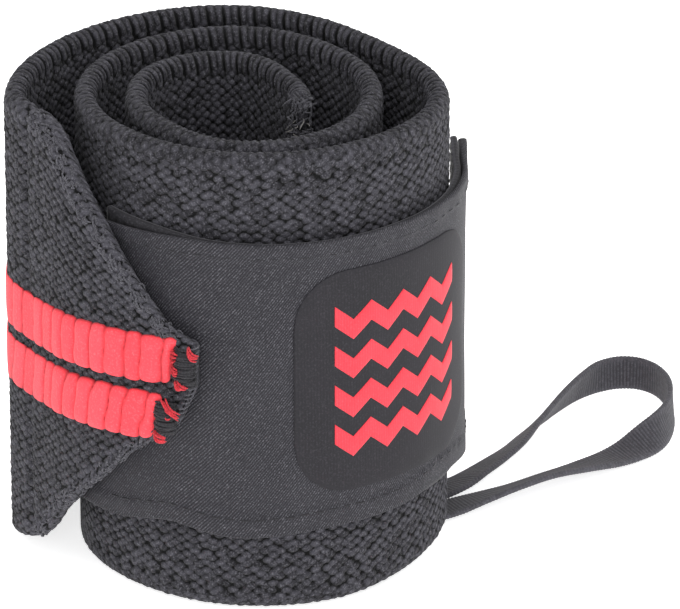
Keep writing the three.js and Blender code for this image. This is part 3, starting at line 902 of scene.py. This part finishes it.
@dataclass
class ThreadTack:
    """A thread tack at the point's tip: a satin pad of threads, and tufts of the stripe's red yarn round it.

    Each tuft is a row of first angle, first height, last angle, last height.
    """

    name: str
    node: str
    low: float
    high: float
    first: float
    last: float
    seed: int
    tufts: tuple[tuple[float, float, float, float], ...]
    pitch: float = 0.2
    radius: float = 0.21
    rise: float = 1.45
    margin: float = 0.2
    stray: float = 0.3
    sway: float = 0.5
    tuft_threads: int = 6
    tuft_radius: float = 0.15
    tuft_lift: float = 0.9

    def dress(self, black: bpy.types.Material, red: bpy.types.Material) -> None:
        """Threads run along the band, each an arch of a root of a sine, with seeded jitter.

        Args:
            black: Finish of the threads.
            red: Finish of the tufts.
        """
        rng = np.random.default_rng(self.seed)
        count = round((self.high - self.low) / self.pitch)
        t = np.linspace(0, 1, 12)
        level = np.linspace(self.low + self.margin, self.high - self.margin, count)[:, None]
        reach = rng.normal(0.0, self.stray, (2, count, 1))
        angle = self.first + reach[0] + (self.last - self.first + reach[1] - reach[0]) * t
        pad = 1 - 0.45 * np.abs(np.linspace(-1, 1, count))[:, None] ** 3
        out = 0.1 + self.rise * np.sin(np.pi * t) ** 0.4 * pad + rng.normal(0, 0.06, (count, 1))
        height = level + self.sway * rng.uniform(-1, 1, (count, 1)) * np.sin(np.pi * t)
        threads = tubes(self.name, BAND_WALL.place(angle, out, height), self.radius)
        dress(threads, black, "tack_thread", self.node)
        rows = np.repeat(np.array(self.tufts), self.tuft_threads, axis=0)[..., None]
        jitter = rng.normal(0, 1, (len(rows), 4, 1))
        turn = np.linspace(0, 1, 9)
        angle = rows[:, 0] + (rows[:, 2] - rows[:, 0]) * turn + 0.35 * jitter[:, 0]
        height = rows[:, 1] + (rows[:, 3] - rows[:, 1]) * turn + 0.3 * jitter[:, 1]
        height = height + 0.3 * jitter[:, 2] * np.sin(np.pi * turn)
        out = self.tuft_lift + (self.tuft_lift + 0.15 * jitter[:, 3]) * np.sin(np.pi * turn)
        tufts = tubes(self.name + "_red_tufts", BAND_WALL.place(angle, out, height), self.tuft_radius)
        dress(tufts, red, "tack_thread")


@dataclass
class FoldFuzz:
    """Worn yarn along the folded edges of the point, and whip stitches round its tip."""

    count: int = 420
    seed: int = 21
    edge: float = 1.7
    first: float = 913.0
    last: float = 972.0
    radius: float = 0.14
    upper_share: float = 0.6
    stitch_pitch: float = 0.85
    stitch_radius: float = 0.13
    stitch_low: float = 34.6
    stitch_high: float = 47.0

    def dress(self, finish: bpy.types.Material) -> None:
        """Fuzz is short loops that leave the fold at seeded places, and stitches are hoops over the tip."""
        rng = np.random.default_rng(self.seed)
        t = np.linspace(0, 1, 7)
        start = rng.uniform(self.first, self.last, (self.count, 1))
        upper = rng.uniform(0, 1, (self.count, 1)) < self.upper_share
        inwards = np.where(upper, -1.0, 1.0)
        swing = rng.normal(0, 1, (3, self.count, 1))
        angle = start + (1.0 + 0.6 * swing[0]) * t
        edge = np.where(upper, point_column(angle, 3, 0.0), point_column(angle, 2, 0.0))
        bend = rng.uniform(-0.1, 1.0, (self.count, 1)) * np.pi / 2 + 0.35 * swing[1] * t
        reach = self.edge + 0.45 * np.sin(np.pi * t) - 0.15
        out = reach * np.cos(bend) - self.edge + 0.1 * swing[2] * t
        height = edge + inwards * (self.edge - reach * np.sin(bend))
        curls = tubes("fold_edge_fuzz", BAND_WALL.place(angle, out, height), self.radius, 5)
        dress(curls, finish, "band_elastic")
        levels = np.arange(self.stitch_low, self.stitch_high, self.stitch_pitch)[:, None]
        tip = np.interp(levels, TIP[:, 0], TIP[:, 1])
        bend = np.linspace(-0.2, 1.0, 9) * np.pi / 2
        angle = tip + 0.3 * rng.normal(0, 1, levels.shape) + 1.6 * np.sin(bend) - 1.4
        out = -1.2 + 1.75 * np.cos(bend) + 0.1 * rng.normal(0, 1, levels.shape)
        places = BAND_WALL.place(angle, out, levels + 0 * bend)
        hoops = tubes("tip_whip_stitches", places, self.stitch_radius)
        dress(hoops, finish, "tack_thread")


def straight_run(wall: Wall, first: float, last: float) -> tuple[np.ndarray, np.ndarray]:
    """Fine angles along a wall, and the length at each, for looking up one by the other."""
    return wall.stations(first, last, FINE_STEP)


@dataclass
class HookTab:
    """The closing tab: a hemmed nylon cover, its stitches, the hook strip behind it and a patch on it."""

    thickness: float = 0.8
    end_fold: float = 0.7
    fold_first: float = 364.0
    cover_edge: float = 0.35
    step: float = 0.45
    mean_radius: float = 30.0
    hem_rise: float = 0.3
    hem_step: float = 0.3
    groove_width: float = 0.35
    groove_depth: float = 0.1
    pucker: float = 0.1
    pucker_reach: float = 2.2
    pucker_stitches: float = 2.7
    slow_wave: float = 0.09
    upper_hem: float = 2.6
    lower_hem: float = 3.3
    stitch_in: dict[Side, float] = field(default_factory=lambda: {Side.UPPER: 2.3, Side.LOWER: 3.1})
    stitch_pitch: float = 2.3
    stitch_radius: float = 0.16
    stitch_arch: float = 0.14
    stitch_sink: float = 0.2
    first_stitch: float = 14.0
    last_stitch: float = 2.5
    seat: float = 0.3
    hook_thickness: float = 1.1
    hook_low: float = 14.6
    hook_lift: float = 330.0
    hook_edge: float = 0.3
    hook_rim: float = 0.4
    hook_rise: float = 0.12
    hook_pitch: tuple[float, float] = (1.8, 1.9)
    badge_low: float = 20.2
    badge_high: float = 57.4
    badge_corner: float = 9.0
    badge_first: float = 287.5
    badge_last: float = 355.0
    badge_thickness: float = 0.3
    badge_lift: float = 0.33
    badge_step: float = 0.4
    badge_edge: float = 0.25
    badge_rim: float = 0.5
    badge_rim_drop: float = 0.12
    design_width: float = 25.0
    zigzag_lines: int = 4
    zigzag_gap: float = 6.6
    zigzag_height: float = 2.6
    zigzag_period: float = 6.25
    zigzag_stroke: float = 3.4

    def edges(self, angle: np.ndarray) -> tuple[np.ndarray, np.ndarray]:
        """Lower and upper edge of the cover."""
        low = smooth_column(TAB[:, 0], TAB[:, 2], angle)
        high = smooth_column(TAB[:, 0], TAB[:, 3], angle)
        return low, high

    def thick(self, angle: np.ndarray) -> np.ndarray:
        """Thickness of the cover, which grows towards the free end where the cloth is folded back."""
        share = np.clip((angle - self.fold_first) / (TAB[-1, 0] - self.fold_first), 0, 1)
        return self.thickness + self.end_fold * share

    def stitch_height(self, angle: np.ndarray, side: Side) -> np.ndarray:
        """Height of a hem's stitch line."""
        low, high = self.edges(angle)
        inwards = self.stitch_in[side]
        return high - inwards if side is Side.UPPER else low + inwards

    def face(self, angle: np.ndarray, height: np.ndarray) -> np.ndarray:
        """How far the cover's outer face stands out from its wall.

        The middle lies lower than the hems by a smooth step. Each stitch line is a bell-shaped groove with
        dimples at the stitches' pitch and puckers that fade away from it. Slow waves soften the whole.

        Args:
            angle: Angles round the roll.
            height: Heights, in the same shape.

        Returns:
            The distance out, negative inwards.
        """
        low, high = self.edges(angle)
        along = np.radians(angle) * self.mean_radius
        hems = np.clip((height - high + self.upper_hem + self.hem_step) / self.hem_step, 0, 1)
        hems = hems + np.clip((low + self.lower_hem + self.hem_step - height) / self.hem_step, 0, 1)
        out = -self.hem_rise * (1 - np.clip(hems, 0, 1))
        for side in Side:
            away = height - self.stitch_height(angle, side)
            groove = np.exp(-((away / self.groove_width) ** 2))
            dimples = np.cos(2 * np.pi * along / self.stitch_pitch)
            out = out - groove * (self.groove_depth + self.groove_depth * dimples)
            phase = 2 * np.pi * along / (self.pucker_stitches * self.stitch_pitch) + 0.4 * height
            fade = np.exp(-np.abs(away) / self.pucker_reach)
            out = out + self.pucker * (fade * np.sin(phase))
        broad = np.sin(along / 5.3 + 0.08 * height) * np.sin(height / 9.0 + 0.7)
        narrow = np.sin(along / 3.1 - height / 7.0)
        return out + self.slow_wave * (broad + 0.6 * narrow)

    def cover(self) -> bpy.types.Object:
        """The cover: a strip whose outer face has the hems' relief."""
        angles, along = TAB_WALL.stations(TAB[0, 0], TAB[-1, 0], self.step)
        low, high = self.edges(angles)
        outer, inner = np.linspace(0, 1, 110), np.linspace(0, 1, 12)
        section = strip_section(low, high, self.thick(angles), self.cover_edge, outer, inner, 4)
        around = np.broadcast_to(angles[:, None], section.out.shape)
        section.out = section.out + self.face(around, section.height) * (section.face > 0)
        points = TAB_WALL.place(angles, section.out, section.height)
        return lofted("tab_cover_cloth", points[None], cloth_uv(along, points))

    def stitches(self) -> bpy.types.Object:
        """Lock stitches along both hems: short arched threads, end to end."""
        fine, run = straight_run(TAB_WALL, TAB[0, 0] + self.first_stitch, TAB[-1, 0] - self.last_stitch)
        count = int(run[-1] / self.stitch_pitch)
        t = np.linspace(0.06, 0.94, 7)
        spans = (np.arange(count)[:, None] + t) * self.stitch_pitch
        angle = np.interp(spans, run, fine)
        paths = []
        for side in Side:
            height = self.stitch_height(angle, side)
            out = self.face(angle, height) + self.stitch_arch * np.sin(np.pi * t) - self.stitch_sink
            paths.append(TAB_WALL.place(angle, out, height))
        return tubes("tab_hem_stitches", np.concatenate(paths), self.stitch_radius)

    def hooks(self) -> bpy.types.Object:
        """The hook strip on the roll, which follows the cover under its lifted end.

        Its bristles are a sine along the strip times one up it, raised on the inner face.
        """
        def radius(angle: np.ndarray) -> np.ndarray:
            """Radius of the strip's outer face."""
            on_roll = band_radius(angle + TURN) + self.seat + self.hook_thickness
            behind = tab_radius(angle) - self.thick(angle) - self.seat
            return np.where(angle > self.hook_lift, np.maximum(on_roll, behind), on_roll)

        wall = Wall(radius)
        angles, along = wall.stations(HOOK_TOP[0, 0], HOOK_TOP[-1, 0], self.step)
        high = smooth_column(HOOK_TOP[:, 0], HOOK_TOP[:, 1], angles)
        low = np.full(len(angles), self.hook_low)
        thick = np.full(len(angles), self.hook_thickness)
        outer, inner = np.linspace(0, 1, 40), np.linspace(0, 1, 80)
        section = strip_section(low, high, thick, self.hook_edge, outer, inner, 3)
        waves = np.sin(2 * np.pi * along / self.hook_pitch[0])[:, None]
        bristle = waves * np.sin(2 * np.pi * section.height / self.hook_pitch[1])
        section.push(self.hook_rise * bristle * (section.face < 0))
        rim = np.clip(1 - section.inset / self.hook_rim, 0, 1)
        pale = rim * np.clip(-1.4 * section.push_out, 0, 1)
        # The hill mark paints the hollow colour where the bristle wave is low: painted shade between the
        # hooks.
        marks = {"hill": np.maximum(0.4 + 0.3 * bristle, rim), "tone": pale}
        points = wall.place(angles, section.out, section.height)
        obj = lofted("hook_strip_tape", points[None], cloth_uv(along, points), marks)
        return obj

    def badge(self) -> bpy.types.Object:
        """The patch: a thin sheet whose corners are quarter circles, with a rolled rim."""
        angles, along = TAB_WALL.stations(self.badge_first, self.badge_last, self.badge_step)
        from_end = np.minimum(along, along[-1] - along)
        into = np.maximum(self.badge_corner - from_end, 0)
        inset = self.badge_corner - np.sqrt(self.badge_corner**2 - into**2)
        low = self.badge_low + inset
        high = self.badge_high - inset
        thick = np.full(len(angles), self.badge_thickness)
        outer, inner = np.linspace(0, 1, 60), np.linspace(0, 1, 6)
        section = strip_section(low, high, thick, self.badge_edge, outer, inner, 3)
        around = np.broadcast_to(angles[:, None], section.out.shape)
        rim = np.exp(-np.minimum(section.inset, from_end[:, None]) / self.badge_rim)
        lifted = section.out + self.face(around, section.height) + self.badge_lift
        section.out = lifted - self.badge_rim_drop * rim
        points = TAB_WALL.place(angles, section.out, section.height)
        return lofted("badge_patch_cloth", points[None], cloth_uv(along, points))

    def design(self) -> bpy.types.Object:
        """Four stitched zigzag lines on the patch: triangle waves, each with a low rounded section."""
        fine, run = straight_run(TAB_WALL, self.badge_first, self.badge_last)
        zags = round(2 * self.design_width / self.zigzag_period)
        u = np.linspace(-self.design_width / 2, self.design_width / 2, zags * 12 + 1)
        angle = np.interp(run[-1] / 2 + u, run, fine)
        wave = self.zigzag_height * (np.abs(np.mod(u / self.zigzag_period, 1.0) * 2 - 1) - 0.5)
        rank = np.arange(self.zigzag_lines) - (self.zigzag_lines - 1) / 2
        centre = (self.badge_low + self.badge_high) / 2 + self.zigzag_gap * rank
        across = np.array([-0.5, -0.44, -0.25, 0.0, 0.25, 0.44, 0.5, 0.3, -0.3])
        proud = np.array([0.02, 0.1, 0.14, 0.15, 0.14, 0.1, 0.02, -0.05, -0.05])
        height = centre[:, None, None] + wave[:, None] + self.zigzag_stroke * across
        around = np.broadcast_to(angle[:, None], height.shape)
        out = self.face(around, height) + self.badge_lift + proud
        points = TAB_WALL.place(around, out, height)
        uv = np.concatenate([cloth_uv(u, row) for row in points])
        return lofted("badge_zigzag_stitching", points, uv)

    def dress(self) -> None:
        cover = dress(self.cover(), TWILL.material(), "tab_nylon", "tab_cover")
        seams = dress(self.stitches(), HEM_THREAD.material(), "tack_thread")
        dress(self.hooks(), HOOKS.material(), "hook_tape", "hook_strip")
        patch = dress(self.badge(), PATCH.material(), "badge_patch", "badge")
        lines = dress(self.design(), DESIGN.material(), "badge_patch")
        _, run = straight_run(TAB_WALL, TAB[0, 0], TAB[-1, 0])


@dataclass
class ThumbLoop:
    """Narrow braided elastic tape, carried along the table's route and twisting with its lean."""

    width: float = 5.6
    thickness: float = 0.9
    edge: float = 0.35
    step: float = 0.15
    fine_stations: int = 8000
    rib_pitch: float = 0.6
    rib: float = 0.05
    selvage: float = 0.3

    def route(self, row: np.ndarray) -> np.ndarray:
        """The centripetal spline through the rows: cubic arcs whose slopes weigh the root of each span."""
        points = LOOP[:, :3]
        ends = np.vstack([2 * points[0] - points[1], points, 2 * points[-1] - points[-2]])
        i = np.clip(row.astype(int), 0, len(points) - 2)
        t = (row - i)[:, None]
        p0, p1, p2, p3 = (ends[i + k] for k in range(4))
        spans = ((p0, p1), (p1, p2), (p2, p3))
        d0, d1, d2 = (np.linalg.norm(b - a, axis=1)[:, None] ** 0.5 for a, b in spans)
        m1 = ((p1 - p0) / d0 - (p2 - p0) / (d0 + d1) + (p2 - p1) / d1) * d1
        m2 = ((p2 - p1) / d1 - (p3 - p1) / (d1 + d2) + (p3 - p2) / d2) * d1
        bow = (m1 - (p2 - p1)) * (1 - t) - (m2 - (p2 - p1)) * t
        return p1 + (p2 - p1) * t + t * (1 - t) * bow

    def dress(self) -> None:
        """A flat rounded section along the route, with fine ribs across the tape."""
        fine = np.linspace(0, len(LOOP) - 1, self.fine_stations)
        run = running_length(self.route(fine))
        along = np.linspace(0, run[-1], round(run[-1] / self.step) + 1)
        row = np.interp(along, run, fine)
        middle = self.route(row)
        forward = unit(np.gradient(middle, axis=0))
        rows = np.arange(len(LOOP), dtype=float)
        heading = np.radians(smooth_column(rows, LOOP[:, 3], row))
        lean = np.radians(smooth_column(rows, LOOP[:, 4], row))
        level = np.sin(lean)
        wide = np.stack([-np.sin(heading) * level, np.cos(heading) * level, np.cos(lean)], axis=-1)
        out_way = unit(np.cross(forward, wide))
        wide = np.cross(out_way, forward)
        half = np.full(len(along), self.width / 2)
        thick = np.full(len(along), self.thickness)
        face_rows = np.linspace(0, 1, 13)
        section = strip_section(-half, half, thick, self.edge, face_rows, face_rows, 4)
        number = np.rint(along / self.rib_pitch)
        rib = np.cos(2 * np.pi * along / self.rib_pitch)[:, None] * (0.6 + 0.4 * chance(number))[:, None]
        selvage = np.exp(-section.inset / self.selvage)
        section.push(self.rib * (rib - 1 + 1.2 * selvage))
        shade = chance(number[:, None] + 0 * section.height, np.rint(section.height * 3))
        # The hill mark paints the hollow colour into the grooves between ribs: painted shade.
        marks = {"hill": 0.5 + 0.28 * rib + 0.3 * selvage, "tone": shade}
        out = (section.out + self.thickness / 2)[..., None]
        points = middle[:, None] + out_way[:, None] * out + wide[:, None] * section.height[..., None]
        obj = lofted("thumb_loop_tape", points[None], cloth_uv(along, points), marks)
        dress(obj, BRAID.material(), "loop_elastic", "thumb_loop")


@dataclass
class FrayedEnd:
    """Loose yarn at the band's cut inner end: dark fuzz down the cut, and a few pale curls near its top."""

    dark: int = 190
    pale: int = 7
    seed: int = 11
    top: float = 75.2
    thickness: float = 3.4
    dark_radius: float = 0.12
    dark_reach: float = 1.5
    dark_drop: float = 40.0
    pale_radius: float = 0.09
    pale_reach: float = 2.4
    pale_drop: float = 7.0

    def dress(self, dark: bpy.types.Material, pale: bpy.types.Material) -> None:
        """Each end is a short curve that leaves the cut and droops or curls by a seeded amount.

        Args:
            dark: Finish of the fuzz.
            pale: Finish of the curls.
        """
        rng = np.random.default_rng(self.seed)
        t = np.linspace(0, 1, 8)
        for name, count, finish, reach, drop, radius in (
            ("cut_end_dark_fuzz", self.dark, dark, self.dark_reach, self.dark_drop, self.dark_radius),
            ("cut_end_pale_yarn", self.pale, pale, self.pale_reach, self.pale_drop, self.pale_radius),
        ):
            start = -self.thickness * rng.uniform(0.0, 1.0, (count, 1))
            level = self.top - drop * rng.uniform(0, 1, (count, 1)) ** 2
            length = reach * rng.uniform(0.4, 1.0, (count, 1))
            curl = rng.normal(0, 1, (3, count, 1))
            angle = 1.5 - length * t * 5.0
            out = start + 0.5 * curl[0] * t**2 + 0.3 * np.sin(4 * t + curl[2])
            height = level + 0.9 * curl[1] * t**2 - 0.5 * length * t**2
            ends = tubes(name, BAND_WALL.place(angle, out, height), radius, 5)
            dress(ends, finish, "band_elastic")


@dataclass
class Studio:
    """Plain pale floor, soft studio light and the camera at the photograph's angle."""

    target: tuple[float, float, float] = (-0.0008574, -0.0110599, 0.0398281)
    elevation: float = 24.5
    distance: float = 1.2
    lens: float = 407.86
    floor_half: float = 3.0
    floor_drop: float = 0.0003
    floor_level: float = 2.0
    floor_curl: float = 0.1
    floor_grain: float = 40.0
    floor_glow: float = 0.7
    sky: float = 0.72

    def build(self) -> None:
        """Builds the floor, the lights, the world and the camera."""
        self.floor()
        self.light("key", (-0.1, -0.95, 0.45), 0.4, 2.3)
        self.light("fill", (0.6, -0.7, 0.3), 0.5, 1.4)
        self.light("rim", (0.75, 0.35, 0.45), 0.4, 1.2)
        self.light("top", (0.0, -0.3, 0.9), 0.5, 3.0)
        world = bpy.data.worlds.new("studio")
        bpy.context.scene.world = world
        world.use_nodes = True
        background = world.node_tree.nodes["Background"]
        background.inputs[0].default_value = linear("#FFFFFF")
        background.inputs[1].default_value = self.sky
        bpy.context.scene.view_settings.view_transform = "Standard"
        self.camera()

    def floor(self) -> None:
        """A broad sheet of paper that stays level under the wrap and curls up slightly far from it."""
        side = np.linspace(-self.floor_half, self.floor_half, 41)
        x, y = np.meshgrid(side, side, indexing="ij")
        far = np.clip((np.hypot(x, y) - self.floor_level) / self.floor_level, 0, None)
        z = -self.floor_drop + self.floor_curl * far**2
        index = np.arange(x.size).reshape(x.shape)
        corners = [index[:-1, :-1], index[1:, :-1], index[1:, 1:], index[:-1, 1:]]
        quads = np.stack(corners, axis=-1).reshape(-1, 4)
        mesh = bpy.data.meshes.new("floor_paper")
        mesh.from_pydata(np.stack([x, y, z], axis=-1).reshape(-1, 3).tolist(), [], quads.tolist())
        mesh.polygons.foreach_set("use_smooth", np.ones(len(mesh.polygons), dtype=bool))
        obj = bpy.data.objects.new("floor_paper", mesh)
        bpy.context.scene.collection.objects.link(obj)
        material, tree = new_material("matt_white_paper")
        place = add_node(tree, "ShaderNodeTexCoord").outputs["Object"]
        settings = {"Scale": 1.0 / (self.floor_grain * MM), "Detail": 3.0, "Roughness": 0.6}
        grain = add_node(tree, "ShaderNodeTexNoise", settings, {"Vector": place}).outputs["Fac"]
        settings = {"data_type": "RGBA", 6: linear("#F4F4F5"), 7: linear("#FAFAFA")}
        colour = add_node(tree, "ShaderNodeMix", settings, {0: grain}).outputs[2]
        glow = {"Emission Color": linear("#FFFFFF"), "Emission Strength": self.floor_glow}
        settings = {"Roughness": 0.9, "Specular IOR Level": 0.1, **glow}
        shader = add_node(tree, "ShaderNodeBsdfPrincipled", settings, {"Base Color": colour})
        add_node(tree, "ShaderNodeOutputMaterial", links={"Surface": shader.outputs[0]})
        mesh.materials.append(material)

    def light(self, name: str, place: tuple[float, float, float], size: float, power: float) -> None:
        """A soft square light turned to the wrap's middle.

        Args:
            name: Its name.
            place: Where it stands, in metres.
            size: Length of its side, in metres.
            power: Its power in watts.
        """
        data = bpy.data.lights.new(name, "AREA")
        data.size = size
        data.energy = power
        obj = bpy.data.objects.new(name, data)
        obj.location = place
        obj.rotation_euler = (Vector(self.target) - Vector(place)).to_track_quat("-Z", "Y").to_euler()
        bpy.context.scene.collection.objects.link(obj)

    def camera(self) -> None:
        """A long lens in front of the wrap, raised by the photograph's angle."""
        data = bpy.data.cameras.new("camera")
        data.sensor_width = 36.0
        data.lens = self.lens
        data.clip_end = 20.0
        obj = bpy.data.objects.new("camera", data)
        rise = math.radians(self.elevation)
        back = Vector((0.0, -math.cos(rise), math.sin(rise)))
        obj.location = Vector(self.target) + back * self.distance
        obj.rotation_euler = (-back).to_track_quat("-Z", "Y").to_euler()
        bpy.context.scene.collection.objects.link(obj)
        bpy.context.scene.camera = obj


def main() -> None:
    """Builds the wrap's pieces in order, then the studio round it."""
    logging.basicConfig(level=logging.INFO)
    thread = THREAD.material()
    red = RED_YARN.material()
    tuft = RED_TUFT_SHADED.material()
    fuzz = FUZZ.material()
    stripes = (
        RibbedStripe(
            "stripe_upper_ribs", "stripe_upper", low=39.0, high=46.8, last=972.6, slant=0.05, end_slant=1.2
        ),
        RibbedStripe(
            "stripe_lower_ribs", "stripe_lower", low=29.4, high=37.2, last=968.0, slant=0.18, end_slant=1.7
        ),
    )
    tacks = (
        ThreadTack(
            "tack_upper_thread", "tack_upper", low=40.2, high=46.6, first=972.0, last=978.0, seed=3,
            tufts=UPPER_TUFTS,
        ),
        ThreadTack(
            "tack_lower_thread", "tack_lower", low=31.8, high=37.0, first=966.0, last=972.0, seed=4,
            tufts=LOWER_TUFTS,
        ),
    )
    ElasticBand().dress()
    for stripe in stripes:
        stripe.dress(red)
    for tack in tacks:
        tack.dress(thread, tuft)
    HookTab().dress()
    FoldFuzz().dress(fuzz)
    ThumbLoop().dress()
    FrayedEnd().dress(fuzz, BARE_YARN.material())
    Studio().build()


if __name__ == "__main__":
    main()
